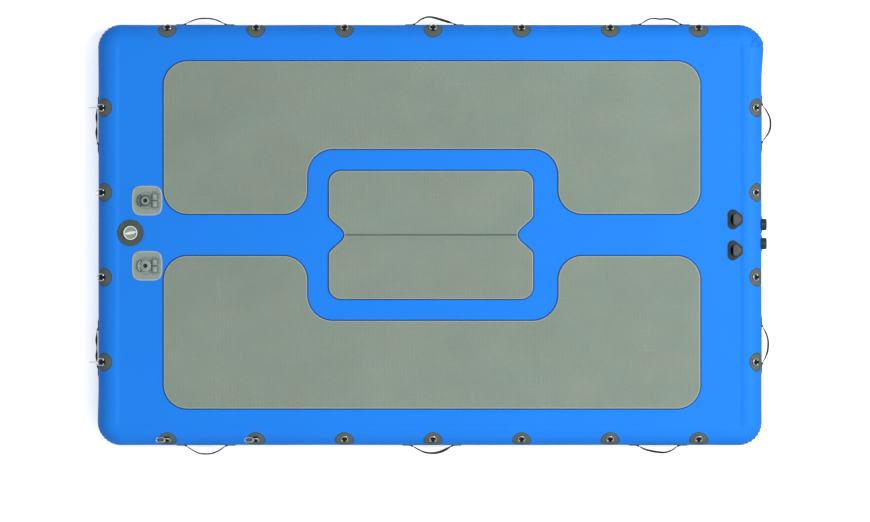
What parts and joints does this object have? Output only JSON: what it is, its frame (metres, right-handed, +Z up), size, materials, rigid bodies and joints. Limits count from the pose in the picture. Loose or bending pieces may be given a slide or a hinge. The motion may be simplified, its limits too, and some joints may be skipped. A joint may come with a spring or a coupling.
{
  "type": "inflatable dock platform",
  "caption": "Flat rectangular inflatable dock platform with a half-round air-chamber rim, foam deck pads, air valve, carry handles, tie rings, snap links, accessory mounts and bracket sockets.",
  "frame": {"origin": "middle of the flat underside, halfway between the ends and the sides of the air chamber", "axes": "+X along the platform's length, from the end with the air valve to the end with the motor-bracket sockets; +Y across it, towards the long side shown at the top of the picture; +Z up through the deck"},
  "size_m": [4.1083, 2.641, 0.2303],
  "materials": {
    "pvc_blue": "coated drop-stitch fabric, semi-gloss",
    "yarn_white": "bare polyester yarn",
    "foam_grey_green": "closed-cell foam, finely textured",
    "webbing_black": "woven webbing",
    "steel_bright": "polished stainless steel",
    "valve_grey": "moulded plastic, satin",
    "moulded_dark": "moulded, satin",
    "mount_grey": "moulded plastic, satin"
  },
  "bodies": {
    "platform": {"top_panel": "pvc_blue", "bottom_panel": "pvc_blue", "side_wall": "pvc_blue", "drop_stitch_yarns": "yarn_white", "deck_pad_upper": "foam_grey_green", "deck_pad_lower": "foam_grey_green", "centre_pad": "foam_grey_green", "valve_body": "valve_grey", "valve_nut": "moulded_dark", "valve_spring": "steel_bright", "deck_socket_upper": "moulded_dark", "deck_socket_lower": "moulded_dark", "wall_socket_upper": "moulded_dark", "wall_socket_lower": "moulded_dark", "mount_base_upper": "mount_grey", "mount_base_lower": "mount_grey"},
    "d_ring_back_1": {"d_ring_back_1": "steel_bright"},
    "d_ring_back_2": {"d_ring_back_2": "steel_bright"},
    "d_ring_back_3": {"d_ring_back_3": "steel_bright"},
    "d_ring_back_4": {"d_ring_back_4": "steel_bright"},
    "d_ring_back_5": {"d_ring_back_5": "steel_bright"},
    "d_ring_back_6": {"d_ring_back_6": "steel_bright"},
    "d_ring_back_7": {"d_ring_back_7": "steel_bright"},
    "d_ring_front_1": {"d_ring_front_1": "steel_bright"},
    "d_ring_front_2": {"d_ring_front_2": "steel_bright"},
    "d_ring_front_3": {"d_ring_front_3": "steel_bright"},
    "d_ring_front_4": {"d_ring_front_4": "steel_bright"},
    "d_ring_front_5": {"d_ring_front_5": "steel_bright"},
    "d_ring_front_6": {"d_ring_front_6": "steel_bright"},
    "d_ring_front_7": {"d_ring_front_7": "steel_bright"},
    "d_ring_left_1": {"d_ring_left_1": "steel_bright"},
    "d_ring_left_2": {"d_ring_left_2": "steel_bright"},
    "d_ring_left_3": {"d_ring_left_3": "steel_bright"},
    "d_ring_left_4": {"d_ring_left_4": "steel_bright"},
    "d_ring_right_1": {"d_ring_right_1": "steel_bright"},
    "d_ring_right_2": {"d_ring_right_2": "steel_bright"},
    "d_ring_right_3": {"d_ring_right_3": "steel_bright"},
    "d_ring_right_4": {"d_ring_right_4": "steel_bright"},
    "handle_back_1": {"handle_back_1": "webbing_black"},
    "handle_back_2": {"handle_back_2": "webbing_black"},
    "handle_back_3": {"handle_back_3": "webbing_black"},
    "handle_front_1": {"handle_front_1": "webbing_black"},
    "handle_front_2": {"handle_front_2": "webbing_black"},
    "handle_front_3": {"handle_front_3": "webbing_black"},
    "handle_right_1": {"handle_right_1": "webbing_black"},
    "handle_right_2": {"handle_right_2": "webbing_black"},
    "handle_left_1": {"handle_left_1": "webbing_black"},
    "handle_left_2": {"handle_left_2": "webbing_black"},
    "snap_link_front_1": {"snap_link_front_1": "steel_bright"},
    "link_gate_front_1": {"link_gate_front_1": "steel_bright"},
    "snap_link_front_2": {"snap_link_front_2": "steel_bright"},
    "link_gate_front_2": {"link_gate_front_2": "steel_bright"},
    "snap_link_left_1": {"snap_link_left_1": "steel_bright"},
    "link_gate_left_1": {"link_gate_left_1": "steel_bright"},
    "snap_link_left_4": {"snap_link_left_4": "steel_bright"},
    "link_gate_left_4": {"link_gate_left_4": "steel_bright"},
    "valve_cap": {"valve_cap": "valve_grey"},
    "valve_stem": {"valve_stem": "moulded_dark"},
    "mount_lock_upper": {"mount_lock_upper": "mount_grey"},
    "mount_lock_lower": {"mount_lock_lower": "mount_grey"}
  },
  "joints": [
    {"name": "d_ring_back_1_swing", "type": "hinge", "parent": "platform", "child": "d_ring_back_1", "pos_m": [-1.581, 1.23987, 0.17546], "axis": [1, 0, 0], "range_deg": [0, 180]},
    {"name": "d_ring_back_2_swing", "type": "hinge", "parent": "platform", "child": "d_ring_back_2", "pos_m": [-1.048, 1.23987, 0.17546], "axis": [1, 0, 0], "range_deg": [0, 180]},
    {"name": "d_ring_back_3_swing", "type": "hinge", "parent": "platform", "child": "d_ring_back_3", "pos_m": [-0.515, 1.23987, 0.17546], "axis": [1, 0, 0], "range_deg": [0, 180]},
    {"name": "d_ring_back_4_swing", "type": "hinge", "parent": "platform", "child": "d_ring_back_4", "pos_m": [0.018, 1.23987, 0.17546], "axis": [1, 0, 0], "range_deg": [0, 180]},
    {"name": "d_ring_back_5_swing", "type": "hinge", "parent": "platform", "child": "d_ring_back_5", "pos_m": [0.551, 1.23987, 0.17546], "axis": [1, 0, 0], "range_deg": [0, 180]},
    {"name": "d_ring_back_6_swing", "type": "hinge", "parent": "platform", "child": "d_ring_back_6", "pos_m": [1.084, 1.23987, 0.17546], "axis": [1, 0, 0], "range_deg": [0, 180]},
    {"name": "d_ring_back_7_swing", "type": "hinge", "parent": "platform", "child": "d_ring_back_7", "pos_m": [1.617, 1.23987, 0.17546], "axis": [1, 0, 0], "range_deg": [0, 180]},
    {"name": "d_ring_front_1_swing", "type": "hinge", "parent": "platform", "child": "d_ring_front_1", "pos_m": [-1.581, -1.23987, 0.17546], "axis": [-1, 0, 0], "range_deg": [-90, 0]},
    {"name": "d_ring_front_2_swing", "type": "hinge", "parent": "platform", "child": "d_ring_front_2", "pos_m": [-1.048, -1.23987, 0.17546], "axis": [-1, 0, 0], "range_deg": [-90, 0]},
    {"name": "d_ring_front_3_swing", "type": "hinge", "parent": "platform", "child": "d_ring_front_3", "pos_m": [-0.515, -1.23987, 0.17546], "axis": [-1, 0, 0], "range_deg": [-180, 0]},
    {"name": "d_ring_front_4_swing", "type": "hinge", "parent": "platform", "child": "d_ring_front_4", "pos_m": [0.018, -1.23987, 0.17546], "axis": [-1, 0, 0], "range_deg": [-180, 0]},
    {"name": "d_ring_front_5_swing", "type": "hinge", "parent": "platform", "child": "d_ring_front_5", "pos_m": [0.551, -1.23987, 0.17546], "axis": [-1, 0, 0], "range_deg": [-180, 0]},
    {"name": "d_ring_front_6_swing", "type": "hinge", "parent": "platform", "child": "d_ring_front_6", "pos_m": [1.084, -1.23987, 0.17546], "axis": [-1, 0, 0], "range_deg": [-180, 0]},
    {"name": "d_ring_front_7_swing", "type": "hinge", "parent": "platform", "child": "d_ring_front_7", "pos_m": [1.617, -1.23987, 0.17546], "axis": [-1, 0, 0], "range_deg": [-180, 0]},
    {"name": "d_ring_left_1_swing", "type": "hinge", "parent": "platform", "child": "d_ring_left_1", "pos_m": [-1.96602, -0.765, 0.18152], "axis": [0, 1, 0], "range_deg": [-12, 100]},
    {"name": "d_ring_left_2_swing", "type": "hinge", "parent": "platform", "child": "d_ring_left_2", "pos_m": [-1.96602, -0.255, 0.18152], "axis": [0, 1, 0], "range_deg": [-39, 141]},
    {"name": "d_ring_left_3_swing", "type": "hinge", "parent": "platform", "child": "d_ring_left_3", "pos_m": [-1.96602, 0.255, 0.18152], "axis": [0, 1, 0], "range_deg": [-39, 141]},
    {"name": "d_ring_left_4_swing", "type": "hinge", "parent": "platform", "child": "d_ring_left_4", "pos_m": [-1.96602, 0.765, 0.18152], "axis": [0, 1, 0], "range_deg": [-12, 100]},
    {"name": "d_ring_right_1_swing", "type": "hinge", "parent": "platform", "child": "d_ring_right_1", "pos_m": [1.97287, -0.765, 0.17546], "axis": [0, -1, 0], "range_deg": [-180, 0]},
    {"name": "d_ring_right_2_swing", "type": "hinge", "parent": "platform", "child": "d_ring_right_2", "pos_m": [1.97287, -0.255, 0.17546], "axis": [0, -1, 0], "range_deg": [-180, 0]},
    {"name": "d_ring_right_3_swing", "type": "hinge", "parent": "platform", "child": "d_ring_right_3", "pos_m": [1.97287, 0.255, 0.17546], "axis": [0, -1, 0], "range_deg": [-180, 0]},
    {"name": "d_ring_right_4_swing", "type": "hinge", "parent": "platform", "child": "d_ring_right_4", "pos_m": [1.97287, 0.765, 0.17546], "axis": [0, -1, 0], "range_deg": [-180, 0]},
    {"name": "handle_back_1_swing", "type": "hinge", "parent": "platform", "child": "handle_back_1", "pos_m": [-1.356, 1.275, 0.1], "axis": [1, 0, 0], "range_deg": [-40, 40]},
    {"name": "handle_back_2_swing", "type": "hinge", "parent": "platform", "child": "handle_back_2", "pos_m": [0.027, 1.275, 0.1], "axis": [1, 0, 0], "range_deg": [-40, 40]},
    {"name": "handle_back_3_swing", "type": "hinge", "parent": "platform", "child": "handle_back_3", "pos_m": [1.39, 1.275, 0.1], "axis": [1, 0, 0], "range_deg": [-40, 40]},
    {"name": "handle_front_1_swing", "type": "hinge", "parent": "platform", "child": "handle_front_1", "pos_m": [-1.351, -1.275, 0.1], "axis": [-1, 0, 0], "range_deg": [-40, 40]},
    {"name": "handle_front_2_swing", "type": "hinge", "parent": "platform", "child": "handle_front_2", "pos_m": [0.012, -1.275, 0.1], "axis": [-1, 0, 0], "range_deg": [-40, 40]},
    {"name": "handle_front_3_swing", "type": "hinge", "parent": "platform", "child": "handle_front_3", "pos_m": [1.376, -1.275, 0.1], "axis": [-1, 0, 0], "range_deg": [-40, 40]},
    {"name": "handle_right_1_swing", "type": "hinge", "parent": "platform", "child": "handle_right_1", "pos_m": [2.008, 0.674, 0.1], "axis": [0, -1, 0], "range_deg": [-40, 40]},
    {"name": "handle_right_2_swing", "type": "hinge", "parent": "platform", "child": "handle_right_2", "pos_m": [2.008, -0.662, 0.1], "axis": [0, -1, 0], "range_deg": [-40, 40]},
    {"name": "handle_left_1_swing", "type": "hinge", "parent": "platform", "child": "handle_left_1", "pos_m": [-2.008, 0.665, 0.1], "axis": [0, 1, 0], "range_deg": [-40, 40]},
    {"name": "handle_left_2_swing", "type": "hinge", "parent": "platform", "child": "handle_left_2", "pos_m": [-2.008, -0.682, 0.1], "axis": [0, 1, 0], "range_deg": [-40, 40]},
    {"name": "snap_link_front_1_swing", "type": "hinge", "parent": "d_ring_front_1", "child": "snap_link_front_1", "pos_m": [-1.601, -1.23275, 0.19145], "axis": [0, 0.4067, 0.9135], "range_deg": [0, 70]},
    {"name": "link_gate_front_1_hinge", "type": "hinge", "parent": "snap_link_front_1", "child": "link_gate_front_1", "pos_m": [-1.6129, -1.2455, 0.19145], "axis": [0, 0, 1], "range_deg": [-22, 0], "stiffness_Nm_per_rad": 0.02, "springref_deg": 8.59},
    {"name": "snap_link_front_2_swing", "type": "hinge", "parent": "d_ring_front_2", "child": "snap_link_front_2", "pos_m": [-1.068, -1.23275, 0.19145], "axis": [0, 0.4067, 0.9135], "range_deg": [0, 70]},
    {"name": "link_gate_front_2_hinge", "type": "hinge", "parent": "snap_link_front_2", "child": "link_gate_front_2", "pos_m": [-1.0799, -1.2455, 0.19145], "axis": [0, 0, 1], "range_deg": [-22, 0], "stiffness_Nm_per_rad": 0.02, "springref_deg": 8.59},
    {"name": "snap_link_left_1_swing", "type": "hinge", "parent": "d_ring_left_1", "child": "snap_link_left_1", "pos_m": [-2.00352, -0.765, 0.18152], "axis": [0, 1, 0], "range_deg": [0, 85]},
    {"name": "link_gate_left_1_hinge", "type": "hinge", "parent": "snap_link_left_1", "child": "link_gate_left_1", "pos_m": [-2.01969, -0.765, 0.18805], "axis": [0, 1, 0], "range_deg": [-22, 0], "stiffness_Nm_per_rad": 0.02, "springref_deg": 8.59},
    {"name": "snap_link_left_4_swing", "type": "hinge", "parent": "d_ring_left_4", "child": "snap_link_left_4", "pos_m": [-2.00352, 0.765, 0.18152], "axis": [0, 1, 0], "range_deg": [-10, 60]},
    {"name": "link_gate_left_4_hinge", "type": "hinge", "parent": "snap_link_left_4", "child": "link_gate_left_4", "pos_m": [-2.01542, 0.765, 0.19427], "axis": [0, 1, 0], "range_deg": [-22, 0], "stiffness_Nm_per_rad": 0.02, "springref_deg": 8.59},
    {"name": "valve_cap_turn", "type": "hinge", "parent": "platform", "child": "valve_cap", "pos_m": [-1.801, 0.012, 0.2056], "axis": [0, 0, 1], "range_deg": [0, 90]},
    {"name": "valve_stem_press", "type": "slide", "parent": "platform", "child": "valve_stem", "axis": [0, 0, -1], "range_m": [0, 0.008], "stiffness_N_per_m": 600, "springref_m": -0.004, "deforming": ["valve_spring"]},
    {"name": "mount_lock_upper_turn", "type": "hinge", "parent": "platform", "child": "mount_lock_upper", "pos_m": [-1.711, 0.206, 0.2138], "axis": [0, 0, 1], "range_deg": [0, 60]},
    {"name": "mount_lock_lower_turn", "type": "hinge", "parent": "platform", "child": "mount_lock_lower", "pos_m": [-1.711, -0.186, 0.2138], "axis": [0, 0, 1], "range_deg": [0, 60]}
  ]
}
